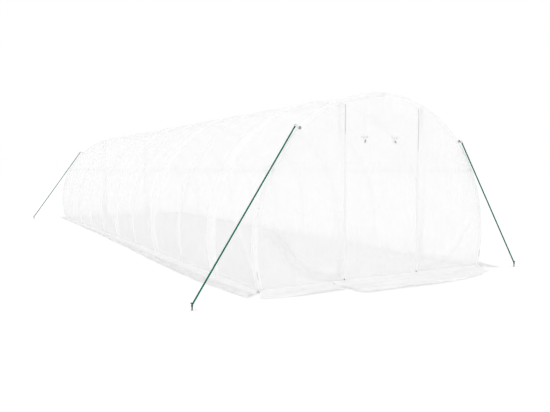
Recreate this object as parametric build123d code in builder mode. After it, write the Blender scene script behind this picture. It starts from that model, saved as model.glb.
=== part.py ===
"""Polytunnel greenhouse, 10 m long, 3 m wide and 2 m high, in millimetres.

Eleven bent steel hoops stand on a tube frame that lies on the ground. A ridge purlin and
two side purlins clip to the inside of the hoops, and a brace stiffens each corner. A white
film is stretched over the hoops, closed at both ends by a panel with a zipped door, and
spreads on the ground as a skirt. Guy ropes hold the two end hoops to ground pegs.

The origin is on the ground at the middle of the tunnel. +Y runs along it, away from the
front door, +X is to the right of someone who faces that door, and +Z is up.
"""

import os
from math import acos, atan2, cos, degrees, pi, radians, sin, sqrt

from build123d import *

# Overall size
LENGTH = 10000
WIDTH = 3000
HEIGHT = 2000
BAYS = 10

# The cover's section is one arc through both ground lines and the crown
ARCH_RADIUS = ((WIDTH / 2) ** 2 + HEIGHT**2) / (2 * HEIGHT)
ARCH_CENTRE = HEIGHT - ARCH_RADIUS
ARCH_AXIS = Axis((0, 0, ARCH_CENTRE), (0, 1, 0))
FILM = 3
SKIN_RADIUS = ARCH_RADIUS - FILM

# Steel tubes, drawn with eight flats so that what they carry seats face to face
TUBE_SIDES = 8
CORNER = 1 / cos(pi / TUBE_SIDES)
HOOP_TUBE = 25
RAIL_TUBE = 25
POST_TUBE = 25
PURLIN_TUBE = 20
BRACE_TUBE = 20

# Each hoop is bent in short straight runs, with one run centred on the crown, and its
# bends touch the cover
RUN_TURN = 5.6
RUN_RADIUS = SKIN_RADIUS * cos(radians(RUN_TURN / 2)) - HOOP_TUBE / 2
HOOP_RADIUS = RUN_RADIUS / cos(radians(RUN_TURN / 2))
PURLIN_RADIUS = RUN_RADIUS - (HOOP_TUBE + PURLIN_TUBE) / 2
SIDE_PURLIN_ANGLE = 11 * RUN_TURN

# Saddle clips that hold the purlins, and sockets that hold the hoops' feet
CLIP_WALL = 3
CLIP_LENGTH = 44
SOCKET_LENGTH = 70

# How far a tube reaches into the one that it is coped to
COPE_DEPTH = RAIL_TUBE / 4

# Places of the hoops, rails and purlins
END_HOOP = LENGTH / 2 - FILM - CLIP_WALL - HOOP_TUBE / 2
HOOP_PITCH = 2 * END_HOOP / BAYS
RAIL_HEIGHT = RAIL_TUBE / 2
RAIL_RADIUS = SKIN_RADIUS - RAIL_HEIGHT * CORNER
RAIL_ANGLE = degrees(acos((RAIL_HEIGHT - ARCH_CENTRE) / RAIL_RADIUS))
RAIL_OFFSET = RAIL_RADIUS * sin(radians(RAIL_ANGLE))
BRACE_FOOT_ANGLE = 103
BRACE_TOP_ANGLE = 66.5

# The cover is six strips from ground to ground
COVER_STRIPS = 6
COVER_EDGE_ANGLE = degrees(acos(-ARCH_CENTRE / ARCH_RADIUS))

# Doors, one at each end
DOOR_WIDTH = 1000
DOOR_HEIGHT = 1850
DOOR_POST_OFFSET = 560
ZIP_WIDTH = 30
ZIP_THICKNESS = 3
TIE_PLACES = (-250, 155)
TIE_TOP = 1530
TIE_LENGTH = 55
TIE_WIDTH = 20
TIE_THICKNESS = 3
TOGGLE_LENGTH = 45
TOGGLE_RADIUS = 5

# Guy ropes, each from a ring on a webbing tab at an end hoop to a peg. The tab runs across
# the hoop from a sewn button to the ring.
ROPE_RADIUS = 7.5
RING_RADIUS = 16
RING_HOLE = 9
RING_THICKNESS = 10
BUTTON_RADIUS = 18
BUTTON_THICKNESS = 8
TAB_WIDTH = 25
TAB_THICKNESS = 3
PEG_RADIUS = 6
PEG_HEIGHT = 70
PEG_HOOK = 14
ROPE_HEIGHT = 48

# Places of the button and the ring on an end, for a tab on the left and on the right
LEFT_TAB = ((-1050, 1584), (-1103, 1604))
RIGHT_TAB = ((1134, 1505), (1169, 1496))

# For each rope: which end it is at, its tab, and its peg's place on the ground
ROPES = {
    "front_left": (-1, LEFT_TAB, (-2310, -5320)),
    "front_right": (-1, RIGHT_TAB, (1900, -5200)),
    "back_left": (1, LEFT_TAB, (-2200, 5060)),
    "back_right": (1, RIGHT_TAB, (2310, 5060)),
}

# Outer edges of the skirts, as distances along and out from the tunnel's corner
SIDE_SKIRT = [
    (-150, 200),
    (650, 265),
    (2100, 262),
    (3700, 205),
    (6200, 130),
    (8600, 95),
    (10080, 80),
]
LEFT_FLAP = [(-120, 245), (200, 305), (820, 295)]
DOOR_FLAP = [(850, 300), (880, 490), (1200, 505), (1880, 525), (2340, 465), (2800, 295), (2975, 200)]

# Where each flap starts and ends across the tunnel, with a slit between the two
FLAP_SPLIT = 830
FLAP_SLIT = 10
END_FLAPS = [
    (0, FLAP_SPLIT - FLAP_SLIT / 2, LEFT_FLAP),
    (FLAP_SPLIT + FLAP_SLIT / 2, WIDTH, DOOR_FLAP),
]

os.makedirs("parts", exist_ok=True)


def save(piece, label):
    """Name a finished piece and write it as its own file."""
    piece.label = label
    export_step(piece, f"parts/{label}.step")


def arch_plane(angle, along, radius):
    """Plane square to the arch at an angle from the crown: its x runs along the tunnel,
    its y points outwards, and its z follows the arch towards +X."""
    turn = radians(angle)
    return Plane(
        origin=(radius * sin(turn), along, ARCH_CENTRE + radius * cos(turn)),
        x_dir=(0, 1, 0),
        z_dir=(cos(turn), 0, -sin(turn)),
    )


def tube_outline(size, mode=Mode.ADD):
    """Section of a tube, with flats square to the sketch's own axes."""
    RegularPolygon(size / 2, TUBE_SIDES, major_radius=False, rotation=180 / TUBE_SIDES, mode=mode)


def half_sleeve(plane, length):
    """Inner half of a sleeve on a straight run of a hoop, to both sides of a plane across it."""
    with BuildSketch(plane) as ring:
        tube_outline(HOOP_TUBE + 2 * CLIP_WALL)
        tube_outline(HOOP_TUBE, mode=Mode.SUBTRACT)
        with Locations((0, HOOP_TUBE)):
            Rectangle(2 * HOOP_TUBE, 2 * HOOP_TUBE, mode=Mode.SUBTRACT)
    extrude(ring.sketch, amount=length / 2, both=True)


def tube(start, end, size, across=(0, 1, 0)):
    """Straight tube between two points, with flats square to a direction across it."""
    run = Vector(*end) - Vector(*start)
    with BuildSketch(Plane(origin=start, x_dir=across, z_dir=run)) as section:
        tube_outline(size)
    extrude(section.sketch, amount=run.length)


hoop_places = [-END_HOOP + number * HOOP_PITCH for number in range(BAYS + 1)]

# Hoops, with feet coped to the base rails
hoops = []
foot_angle = RAIL_ANGLE - degrees(COPE_DEPTH / HOOP_RADIUS)
bend_count = int(foot_angle / RUN_TURN)
bend_angles = [(number + 0.5) * RUN_TURN for number in range(-bend_count, bend_count)]
for number, along in enumerate(hoop_places, start=1):
    bends = [
        arch_plane(angle, along, HOOP_RADIUS).origin
        for angle in (-foot_angle, *bend_angles, foot_angle)
    ]
    with BuildPart() as hoop:
        with BuildLine():
            path = Polyline(*bends)
        with BuildSketch(Plane(origin=path @ 0, x_dir=(0, 1, 0), z_dir=path % 0)):
            tube_outline(HOOP_TUBE)
        sweep(transition=Transition.RIGHT)
        for side in (-1, 1):
            with BuildSketch(Plane.XZ.offset(-along)) as rail_seat:
                with Locations((side * RAIL_OFFSET, RAIL_HEIGHT)):
                    tube_outline(RAIL_TUBE)
            extrude(amount=HOOP_TUBE, both=True, mode=Mode.SUBTRACT)
    hoops.append(hoop.part)
    save(hoop.part, f"hoop_{number:02d}")

# Side base rails, with a socket for each hoop's foot
side_rails = []
for name, side in (("left", -1), ("right", 1)):
    with BuildPart() as rail:
        with BuildSketch(Plane.XZ.offset(-LENGTH / 2 + FILM)) as rail_section:
            with Locations((side * RAIL_OFFSET, RAIL_HEIGHT)):
                tube_outline(RAIL_TUBE)
        extrude(amount=LENGTH - 2 * FILM)
        for along in hoop_places:
            foot = arch_plane(side * foot_angle, along, HOOP_RADIUS).origin
            bend = arch_plane(side * bend_angles[-1], along, HOOP_RADIUS).origin
            upward = (bend - foot).normalized()
            middle = foot + upward * SOCKET_LENGTH / 2
            half_sleeve(Plane(origin=middle, x_dir=(0, 1, 0), z_dir=-side * upward), SOCKET_LENGTH)
    side_rails.append(rail.part)
    save(rail.part, f"{name}_base_rail")

# Sill rails across both ends, coped to the side rails and the end hoops
sill_reach = RAIL_OFFSET - COPE_DEPTH
post_top = ARCH_CENTRE + sqrt(RUN_RADIUS**2 - DOOR_POST_OFFSET**2)
for name, end in (("front", -1), ("back", 1)):
    end_hoop = hoops[0] if end < 0 else hoops[-1]
    with BuildPart() as sill:
        left_seat = (-sill_reach, end * END_HOOP, RAIL_HEIGHT)
        right_seat = (sill_reach, end * END_HOOP, RAIL_HEIGHT)
        tube(left_seat, right_seat, RAIL_TUBE)
        add(side_rails, mode=Mode.SUBTRACT)
        add(end_hoop, mode=Mode.SUBTRACT)
    sill_tube = sill.solids().sort_by(SortBy.VOLUME)[-1]
    save(sill_tube, f"{name}_sill_rail")

    # Door posts, coped to the sill rail and to the end hoop
    with BuildPart() as posts:
        for side in (-1, 1):
            across = side * DOOR_POST_OFFSET
            tube((across, end * END_HOOP, RAIL_HEIGHT), (across, end * END_HOOP, post_top), POST_TUBE)
        add(end_hoop, mode=Mode.SUBTRACT)
        add(sill_tube, mode=Mode.SUBTRACT)
    save(posts.part, f"{name}_door_posts")

# Purlins, each with a saddle clip at every hoop
purlin_angles = {
    "ridge_purlin": 0,
    "left_side_purlin": -SIDE_PURLIN_ANGLE,
    "right_side_purlin": SIDE_PURLIN_ANGLE,
}
for name, angle in purlin_angles.items():
    with BuildPart() as purlin:
        start = arch_plane(angle, -END_HOOP - HOOP_TUBE / 2, PURLIN_RADIUS)
        finish = arch_plane(angle, END_HOOP + HOOP_TUBE / 2, PURLIN_RADIUS)
        tube(start.origin, finish.origin, PURLIN_TUBE, across=start.y_dir)
        for along in hoop_places:
            half_sleeve(arch_plane(angle, along, RUN_RADIUS), CLIP_LENGTH)
    save(purlin.part, name)

# Corner braces, from each end hoop's foot up to the next hoop
for name, end in (("front", -1), ("back", 1)):
    foot_hoop, top_hoop = (hoops[0], hoops[1]) if end < 0 else (hoops[-1], hoops[-2])
    with BuildPart() as braces:
        for side in (-1, 1):
            foot = arch_plane(side * BRACE_FOOT_ANGLE, end * END_HOOP, RUN_RADIUS)
            top_place = end * (END_HOOP - HOOP_PITCH)
            top = arch_plane(side * BRACE_TOP_ANGLE, top_place, RUN_RADIUS)
            tube(foot.origin, top.origin, BRACE_TUBE, across=foot.y_dir)
        add([foot_hoop, top_hoop], mode=Mode.SUBTRACT)
        add(side_rails, mode=Mode.SUBTRACT)
    save(braces.part, f"{name}_corner_braces")

# Cover strips, from the left ground line over the crown to the right one
strip_turn = 2 * COVER_EDGE_ANGLE / COVER_STRIPS
strip_names = (
    "cover_left_side",
    "cover_left_shoulder",
    "cover_left_roof",
    "cover_right_roof",
    "cover_right_shoulder",
    "cover_right_side",
)
strips = []
for number, name in enumerate(strip_names):
    with BuildPart() as strip:
        start_angle = -COVER_EDGE_ANGLE + number * strip_turn
        with BuildSketch(arch_plane(start_angle, 0, ARCH_RADIUS - FILM / 2)):
            Rectangle(LENGTH, FILM)
        revolve(axis=ARCH_AXIS, revolution_arc=strip_turn)
        split(bisect_by=Plane.XY, keep=Keep.TOP)
    strips.append(strip.part)
    save(strip.part, name)

# End panels with their doorways, and the doors that close them
for name, end in (("front", -1), ("back", 1)):
    outer_face = Plane.XZ.offset(-end * LENGTH / 2)
    inward = end * FILM
    outward = -end * ZIP_THICKNESS
    with BuildPart() as panel:
        with BuildSketch(outer_face):
            with Locations((0, ARCH_CENTRE)):
                Circle(SKIN_RADIUS)
            with Locations((0, -HEIGHT)):
                Rectangle(2 * WIDTH, 2 * HEIGHT, mode=Mode.SUBTRACT)
            with Locations((0, DOOR_HEIGHT / 2)):
                Rectangle(DOOR_WIDTH, DOOR_HEIGHT, mode=Mode.SUBTRACT)
        extrude(amount=inward)
    save(panel.part, f"{name}_end_panel")

    with BuildPart() as door:
        with BuildSketch(outer_face):
            with Locations((0, DOOR_HEIGHT / 2)):
                Rectangle(DOOR_WIDTH, DOOR_HEIGHT)
        extrude(amount=inward)
    save(door.part, f"{name}_roll_up_door")

    with BuildPart() as zips:
        zip_middle = (DOOR_HEIGHT + FILM) / 2
        with BuildSketch(outer_face):
            with Locations((-DOOR_WIDTH / 2, zip_middle), (DOOR_WIDTH / 2, zip_middle)):
                Rectangle(ZIP_WIDTH, DOOR_HEIGHT - FILM)
        extrude(amount=outward)
    save(zips.part, f"{name}_door_zips")

    with BuildPart() as ties:
        toggle_along = end * (LENGTH / 2 + TIE_THICKNESS + TOGGLE_RADIUS / 2)
        toggle_height = TIE_TOP - TIE_LENGTH
        for place in TIE_PLACES:
            across = -end * place
            with BuildSketch(outer_face):
                with Locations((across, TIE_TOP - TIE_LENGTH / 2)):
                    Rectangle(TIE_WIDTH, TIE_LENGTH)
            extrude(amount=-end * TIE_THICKNESS)
            left_tip = (across - TOGGLE_LENGTH / 2, toggle_along, toggle_height)
            right_tip = (across + TOGGLE_LENGTH / 2, toggle_along, toggle_height)
            tube(left_tip, right_tip, 2 * TOGGLE_RADIUS)
    save(ties.part, f"{name}_door_ties")

# Skirts, laid out on the ground along both sides and in front of both ends
for name, side in (("left", -1), ("right", 1)):
    edge = [(side * (WIDTH / 2 + out), along - LENGTH / 2) for along, out in SIDE_SKIRT]
    with BuildPart() as skirt:
        with BuildSketch(Plane.XY):
            with BuildLine():
                outer = Spline(*edge)
                Polyline(
                    outer @ 1,
                    (side * WIDTH / 2, LENGTH / 2),
                    (side * WIDTH / 2, -LENGTH / 2),
                    outer @ 0,
                )
            make_face()
        extrude(amount=FILM)
        add(strips, mode=Mode.SUBTRACT)
    save(skirt.part, f"{name}_skirt")

for name, end in (("front", -1), ("back", 1)):
    with BuildPart() as skirt:
        for first_side, last_side, flap in END_FLAPS:
            edge = [(across - WIDTH / 2, end * (LENGTH / 2 + out)) for across, out in flap]
            with BuildSketch(Plane.XY):
                with BuildLine():
                    outer = Spline(*edge)
                    Polyline(
                        outer @ 1,
                        (last_side - WIDTH / 2, end * LENGTH / 2),
                        (first_side - WIDTH / 2, end * LENGTH / 2),
                        outer @ 0,
                    )
                make_face()
            extrude(amount=FILM)
    save(skirt.part, f"{name}_skirt")

# Rope tabs sewn across the end hoops, guy ropes and their pegs
tabs = []
pegs = []
for name, (end, (button, ring), (peg_across, peg_along)) in ROPES.items():
    tab_run = Vector(*ring) - Vector(*button)
    tab_middle = (Vector(*ring) + Vector(*button)) / 2
    tab_turn = degrees(atan2(tab_run.Y, tab_run.X))
    tab_face = end * (LENGTH / 2 + TAB_THICKNESS)
    ring_centre = Vector(ring[0], tab_face + end * RING_THICKNESS / 2, ring[1])
    foot = Vector(peg_across, peg_along, ROPE_HEIGHT)
    rim = Vector(foot.X - ring_centre.X, 0, foot.Z - ring_centre.Z).normalized()
    rope_top = ring_centre + rim * (RING_RADIUS + RING_HOLE) / 2

    with BuildPart() as tab:
        with BuildSketch(Plane.XZ.offset(-end * LENGTH / 2)):
            with Locations((tab_middle.X, tab_middle.Y)):
                Rectangle(tab_run.length, TAB_WIDTH, rotation=tab_turn)
        extrude(amount=-end * TAB_THICKNESS)
        with BuildSketch(Plane.XZ.offset(-tab_face)):
            with Locations(ring):
                RegularPolygon(RING_RADIUS, TUBE_SIDES)
                RegularPolygon(RING_HOLE, TUBE_SIDES, mode=Mode.SUBTRACT)
        extrude(amount=-end * RING_THICKNESS)
        with BuildSketch(Plane.XZ.offset(-tab_face)):
            with Locations(button):
                RegularPolygon(BUTTON_RADIUS, TUBE_SIDES)
            with Locations(ring):
                RegularPolygon(RING_RADIUS, TUBE_SIDES, mode=Mode.SUBTRACT)
        extrude(amount=-end * BUTTON_THICKNESS)
    tabs.append(tab.part)

    hook_height = PEG_HEIGHT - PEG_RADIUS
    hook_across = peg_across + (PEG_HOOK if peg_across > 0 else -PEG_HOOK)
    with BuildPart() as peg:
        tube((peg_across, peg_along, 0), (peg_across, peg_along, PEG_HEIGHT), 2 * PEG_RADIUS)
        tube(
            (peg_across, peg_along, hook_height),
            (hook_across, peg_along, hook_height),
            2 * PEG_RADIUS,
        )
    pegs.append(peg.part)

    with BuildPart() as rope:
        tube(rope_top, foot, 2 * ROPE_RADIUS)
        add([tab.part, peg.part], mode=Mode.SUBTRACT)
    rope_line = rope.solids().sort_by(SortBy.VOLUME)[-1]
    save(rope_line, f"guy_rope_{name}")

save(Compound(children=tabs), "rope_tabs")
save(Compound(children=pegs), "ground_pegs")
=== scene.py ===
from math import acos, atan2, ceil, cos, pi, radians, sin, sqrt

import bmesh
import bpy
import numpy as np
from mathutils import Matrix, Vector


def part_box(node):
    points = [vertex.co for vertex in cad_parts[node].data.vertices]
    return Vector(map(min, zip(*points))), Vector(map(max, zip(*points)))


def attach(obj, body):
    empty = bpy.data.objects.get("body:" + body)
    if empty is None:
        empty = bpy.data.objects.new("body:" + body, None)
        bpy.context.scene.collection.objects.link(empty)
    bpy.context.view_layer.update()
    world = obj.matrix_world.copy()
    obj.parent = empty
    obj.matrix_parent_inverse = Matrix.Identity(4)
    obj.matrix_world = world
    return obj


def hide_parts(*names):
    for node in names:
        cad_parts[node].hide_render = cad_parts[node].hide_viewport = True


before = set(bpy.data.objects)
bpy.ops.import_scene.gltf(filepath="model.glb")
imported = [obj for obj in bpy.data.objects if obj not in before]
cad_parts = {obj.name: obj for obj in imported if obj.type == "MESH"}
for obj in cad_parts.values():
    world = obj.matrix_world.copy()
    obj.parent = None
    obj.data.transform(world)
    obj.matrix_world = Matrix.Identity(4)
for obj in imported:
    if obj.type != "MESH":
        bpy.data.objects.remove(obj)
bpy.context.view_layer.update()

# Driving dimensions in metres, from the frame where it shows them
door_low, door_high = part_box("front_roll_up_door")
hoop_low, hoop_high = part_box("hoop_01")
cover_low, cover_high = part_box("cover_left_roof")
LENGTH = cover_high.y - cover_low.y
HEIGHT = cover_high.z
WIDTH = 3.0
DOOR_WIDTH = door_high.x - door_low.x
DOOR_HEIGHT = door_high.z
BAYS = 10

# The tunnel's ends and sides, with the sign of their Y and of their X
ENDS = (("front", -1), ("back", 1))
SIDES = (("left", -1), ("right", 1))

# The cover's section is one arc through both ground lines and the crown
ARCH_RADIUS = ((WIDTH / 2) ** 2 + HEIGHT**2) / (2 * HEIGHT)
ARCH_CENTRE = HEIGHT - ARCH_RADIUS
EDGE_ANGLE = acos(-ARCH_CENTRE / ARCH_RADIUS)

# Tubes and what seats on them
TUBE = 0.025
PURLIN_TUBE = 0.020
BRACE_TUBE = 0.020
FILM = 0.003
SKIN_RADIUS = ARCH_RADIUS - FILM
HOOP_RADIUS = SKIN_RADIUS - TUBE / 2
PURLIN_RADIUS = HOOP_RADIUS - (TUBE + PURLIN_TUBE) / 2
PURLIN_ANGLES = {
    "ridge_purlin": 0.0,
    "left_side_purlin": radians(-61.6),
    "right_side_purlin": radians(61.6),
}
RAIL_HEIGHT = TUBE / 2
RAIL_OFFSET = sqrt((SKIN_RADIUS - TUBE / 2) ** 2 - (RAIL_HEIGHT - ARCH_CENTRE) ** 2)
FOOT_ANGLE = pi - atan2(RAIL_OFFSET, ARCH_CENTRE - RAIL_HEIGHT)
END_HOOP = (hoop_low.y + hoop_high.y) / -2
HOOP_PITCH = 2 * END_HOOP / BAYS
HOOP_PLACES = [-END_HOOP + number * HOOP_PITCH for number in range(BAYS + 1)]
POST_OFFSET = 0.56
BRACE_FOOT_ANGLE = radians(103)
BRACE_TOP_ANGLE = radians(66.5)

# Places of a rope tab's button and ring on an end, for the left and for the right
LEFT_TAB = ((-1.050, 1.584), (-1.103, 1.604))
RIGHT_TAB = ((1.134, 1.505), (1.169, 1.496))

# Guy ropes: which end, the tab and the peg's place on the ground
ROPES = {
    "front_left": (-1, LEFT_TAB, (-2.310, -5.320)),
    "front_right": (-1, RIGHT_TAB, (1.900, -5.200)),
    "back_left": (1, LEFT_TAB, (-2.200, 5.060)),
    "back_right": (1, RIGHT_TAB, (2.310, 5.060)),
}
ROPE_DIAMETER = 0.015
RING_RADIUS = 0.0125
EYELET_RADIUS = 0.0125
ROPE_HEIGHT = 0.048
PEG_HEIGHT = 0.070
TAB_WIDTH = 0.025
TIE_PLACES = (-0.250, 0.155)
TIE_TOP = 1.530
TIE_LENGTH = 0.055


def rgb(code):
    """Linear colour of an sRGB hex code."""
    parts = [int(code[place : place + 2], 16) / 255 for place in (1, 3, 5)]
    return (*((p / 12.92 if p <= 0.04045 else ((p + 0.055) / 1.055) ** 2.4) for p in parts), 1.0)


def add_node(tree, kind, inputs=None, **settings):
    """Adds a node with its settings, and links or sets its inputs."""
    node = tree.nodes.new(kind)
    for name, value in settings.items():
        setattr(node, name, value)
    for socket, value in (inputs or {}).items():
        if isinstance(value, bpy.types.NodeSocket):
            tree.links.new(value, node.inputs[socket])
        else:
            node.inputs[socket].default_value = value
    return node


def new_material(name):
    """An empty material and its node tree."""
    material = bpy.data.materials.new(name)
    material.use_nodes = True
    material.node_tree.nodes.clear()
    return material, material.node_tree


def wave_scale(period):
    """Scale of a Wave texture whose bands repeat at a period in metres."""
    return pi / 10 / period


# Real sizes that the patterns of the materials follow, in metres
FILM_TAPE_SPACING = 0.010
PACK_FOLD_SPACINGS = {"X": 0.58, "Y": 0.50}
SPANGLE_SIZE = 0.008
FOLD_SHARPNESS = 400.0
OPENING_SPREAD = 0.04


def film_material(name, colour, straight_through, cloud_size=0.32, glow_share=0.45):
    """Polyethylene film, coated over a net of flat tapes: milky, half see-through, with a soft
    plastic sheen. Its tapes cross every 10 mm as a fine raised grid, and faint creases are left
    from its pack. glow_share is how much of the milky part shines through from behind."""
    material, tree = new_material(name)
    place = add_node(tree, "ShaderNodeUVMap", uv_map="UVMap").outputs["UV"]
    clouds = add_node(
        tree, "ShaderNodeTexNoise", {"Vector": place, "Scale": 1 / cloud_size, "Detail": 3.0}
    )
    tape_lines = []
    for direction in ("X", "Y"):
        wave = add_node(
            tree,
            "ShaderNodeTexWave",
            {"Vector": place, "Scale": wave_scale(FILM_TAPE_SPACING)},
            bands_direction=direction,
        )
        tape_lines.append(wave.outputs["Fac"])
    grid = add_node(
        tree, "ShaderNodeMath", {0: tape_lines[0], 1: tape_lines[1]}, operation="MAXIMUM"
    )
    fold_lines = []
    for direction, spacing in PACK_FOLD_SPACINGS.items():
        wave = add_node(
            tree,
            "ShaderNodeTexWave",
            {
                "Vector": place,
                "Scale": wave_scale(spacing),
                "Distortion": 0.3,
                "Detail Scale": 0.4,
            },
            bands_direction=direction,
        )
        sharp = add_node(
            tree, "ShaderNodeMath", {0: wave.outputs["Fac"], 1: FOLD_SHARPNESS}, operation="POWER"
        )
        fold_lines.append(sharp.outputs["Value"])
    folds = add_node(
        tree, "ShaderNodeMath", {0: fold_lines[0], 1: fold_lines[1]}, operation="MAXIMUM"
    )
    tape_bump = add_node(
        tree,
        "ShaderNodeBump",
        {"Height": grid.outputs["Value"], "Strength": 0.25, "Distance": 0.0006},
    )
    fold_bump = add_node(
        tree,
        "ShaderNodeBump",
        {
            "Height": folds.outputs["Value"],
            "Strength": 0.35,
            "Distance": 0.003,
            "Normal": tape_bump.outputs["Normal"],
        },
    )
    tint = add_node(
        tree,
        "ShaderNodeMix",
        {"Factor": clouds.outputs["Fac"], 6: rgb(colour), 7: rgb("#fefefe")},
        data_type="RGBA",
    )
    surface = add_node(
        tree,
        "ShaderNodeBsdfPrincipled",
        {
            "Base Color": tint.outputs[2],
            "Roughness": 0.42,
            "IOR": 1.51,
            "Normal": fold_bump.outputs["Normal"],
        },
    )
    glow = add_node(
        tree,
        "ShaderNodeBsdfTranslucent",
        {"Color": tint.outputs[2], "Normal": fold_bump.outputs["Normal"]},
    )
    milky = add_node(
        tree,
        "ShaderNodeMixShader",
        {0: glow_share, 1: surface.outputs["BSDF"], 2: glow.outputs["BSDF"]},
    )
    clear = add_node(tree, "ShaderNodeBsdfTransparent", {"Color": (1.0, 1.0, 1.0, 1.0)})
    opening = add_node(
        tree,
        "ShaderNodeMapRange",
        {
            "Value": clouds.outputs["Fac"],
            "To Min": straight_through + OPENING_SPREAD,
            "To Max": straight_through - OPENING_SPREAD,
        },
    )
    film = add_node(
        tree,
        "ShaderNodeMixShader",
        {0: opening.outputs["Result"], 1: milky.outputs["Shader"], 2: clear.outputs["BSDF"]},
    )
    add_node(tree, "ShaderNodeOutputMaterial", {"Surface": film.outputs["Shader"]})
    return material


def solid_surface(tree, shade, colours, relief, bump, finish):
    """Opaque surface between two colours by a shade, with a relief raised by a bump's strength
    and depth in metres. finish holds the rest of its looks."""
    dark, light = colours
    strength, depth = bump
    tone = add_node(
        tree, "ShaderNodeMix", {"Factor": shade, 6: rgb(dark), 7: rgb(light)}, data_type="RGBA"
    )
    raised = add_node(
        tree, "ShaderNodeBump", {"Height": relief, "Strength": strength, "Distance": depth}
    )
    surface = add_node(
        tree,
        "ShaderNodeBsdfPrincipled",
        {"Base Color": tone.outputs[2], "Normal": raised.outputs["Normal"], **finish},
    )
    add_node(tree, "ShaderNodeOutputMaterial", {"Surface": surface.outputs["BSDF"]})


def zinc_material():
    """Steel tube, hot-dip galvanised and bloomed nearly white, with soft spangles 8 mm across."""
    material, tree = new_material("galvanised_steel_tube")
    place = add_node(tree, "ShaderNodeTexCoord").outputs["Object"]
    spangle = add_node(tree, "ShaderNodeTexVoronoi", {"Vector": place, "Scale": 1 / SPANGLE_SIZE})
    streaks = add_node(tree, "ShaderNodeTexNoise", {"Vector": place, "Scale": 22.0, "Detail": 4.0})
    rough = add_node(
        tree,
        "ShaderNodeMapRange",
        {"Value": streaks.outputs["Fac"], "To Min": 0.34, "To Max": 0.52},
    )
    solid_surface(
        tree,
        shade=spangle.outputs["Color"],
        colours=("#f6f7f7", "#fefefe"),
        relief=streaks.outputs["Fac"],
        bump=(0.15, 0.0004),
        finish={"Metallic": 0.15, "Roughness": rough.outputs["Result"]},
    )
    return material


def woven_material(name, dark, light, thread, roughness, sheen):
    """Woven polyester tape: matt, with threads that cross at a real spacing in metres."""
    material, tree = new_material(name)
    place = add_node(tree, "ShaderNodeTexCoord").outputs["Object"]
    threads = []
    for direction in ("X", "Z"):
        wave = add_node(
            tree,
            "ShaderNodeTexWave",
            {"Vector": place, "Scale": wave_scale(thread)},
            bands_direction=direction,
        )
        threads.append(wave.outputs["Fac"])
    weave = add_node(tree, "ShaderNodeMath", {0: threads[0], 1: threads[1]}, operation="MULTIPLY")
    wear = add_node(tree, "ShaderNodeTexNoise", {"Vector": place, "Scale": 60.0, "Detail": 4.0})
    shade = add_node(
        tree,
        "ShaderNodeMath",
        {0: weave.outputs["Value"], 1: wear.outputs["Fac"]},
        operation="MULTIPLY",
    )
    solid_surface(
        tree,
        shade=shade.outputs["Value"],
        colours=(dark, light),
        relief=weave.outputs["Value"],
        bump=(0.5, 0.0004),
        finish={"Roughness": roughness, "Sheen Weight": sheen},
    )
    return material


def plain_material(name, dark, light, grain, roughness, metallic=0.0, gloss=0.5):
    """Finish of small parts, moulded, plated or twisted, with a grain that breaks up the light.
    gloss is the strength of its shine, where 0.5 is usual."""
    material, tree = new_material(name)
    place = add_node(tree, "ShaderNodeTexCoord").outputs["Object"]
    speck = add_node(
        tree, "ShaderNodeTexNoise", {"Vector": place, "Scale": 1 / grain, "Detail": 5.0}
    )
    solid_surface(
        tree,
        shade=speck.outputs["Fac"],
        colours=(dark, light),
        relief=speck.outputs["Fac"],
        bump=(0.3, 0.0003),
        finish={"Metallic": metallic, "Roughness": roughness, "Specular IOR Level": gloss},
    )
    return material


cover_film = film_material("coated_polyethylene_film", "#fafafa", 0.35)
doubled_film = film_material("welded_double_film", "#fcfcfc", 0.10)
binding_film = film_material("sewn_binding_film", "#fafafa", 0.10, glow_share=0.32)
bead_film = film_material("welded_bead_film", "#fcfcfc", 0.04, glow_share=0.12)
skirt_film = film_material("ground_skirt_film", "#fdfdfd", 0.08, 0.18, glow_share=0.30)
# The hem's greyer colour is painted shade, for the skirt's ruffles shading the ground near its edge
shaded_hem_film = film_material("hemmed_skirt_film_painted_shade", "#ececec", 0.05, 0.12, glow_share=0.30)
zinc = zinc_material()
bolt_zinc = plain_material("zinc_plated_bolt_steel", "#8d9193", "#b4b8ba", 0.006, 0.4, metallic=0.8)
zip_cloth = woven_material("woven_zip_tape", "#f1f1f1", "#fcfcfc", 0.0012, 0.8, 0.2)
zip_nylon = plain_material("moulded_nylon_zip_teeth", "#a3a7a7", "#bdc1c1", 0.004, 0.45)
strap_cloth = woven_material("woven_polyester_webbing", "#f2f2f2", "#fdfdfd", 0.0016, 0.75, 0.3)
rope_fibre = plain_material(
    "twisted_polypropylene_rope", "#005640", "#077a5c", 0.002, 0.8, gloss=0.15
)
peg_steel = plain_material("dark_coated_peg_steel", "#26302c", "#46514c", 0.004, 0.5, metallic=0.3)
grey_plastic = plain_material("moulded_grey_plastic", "#6d7273", "#8b9091", 0.003, 0.5)
pale_plastic = plain_material("moulded_pale_plastic", "#c6caca", "#dadddd", 0.003, 0.5)


def arch_point(angle, radius, along):
    """Point on the arch at an angle from the crown, towards +X."""
    return Vector((radius * sin(angle), along, ARCH_CENTRE + radius * cos(angle)))


def make_object(name, points, faces, materials, uvs, smooth=True, finish=None):
    """A mesh piece that rides on the one body, with its materials. finish gives
    each face's place in the list of materials."""
    mesh = bpy.data.meshes.new(name)
    mesh.from_pydata([tuple(map(float, p)) for p in points], [], faces)
    layer = mesh.uv_layers.new(name="UVMap")
    corner_points = np.empty(len(mesh.loops), int)
    mesh.loops.foreach_get("vertex_index", corner_points)
    layer.data.foreach_set("uv", np.asarray(uvs, float)[corner_points].ravel())
    for material in materials:
        mesh.materials.append(material)
    if finish is not None:
        mesh.polygons.foreach_set("material_index", finish)
    mesh.polygons.foreach_set("use_smooth", [smooth] * len(mesh.polygons))
    mesh.update()
    piece = bpy.data.objects.new(name, mesh)
    bpy.context.scene.collection.objects.link(piece)
    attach(piece, "root")
    return piece


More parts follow.
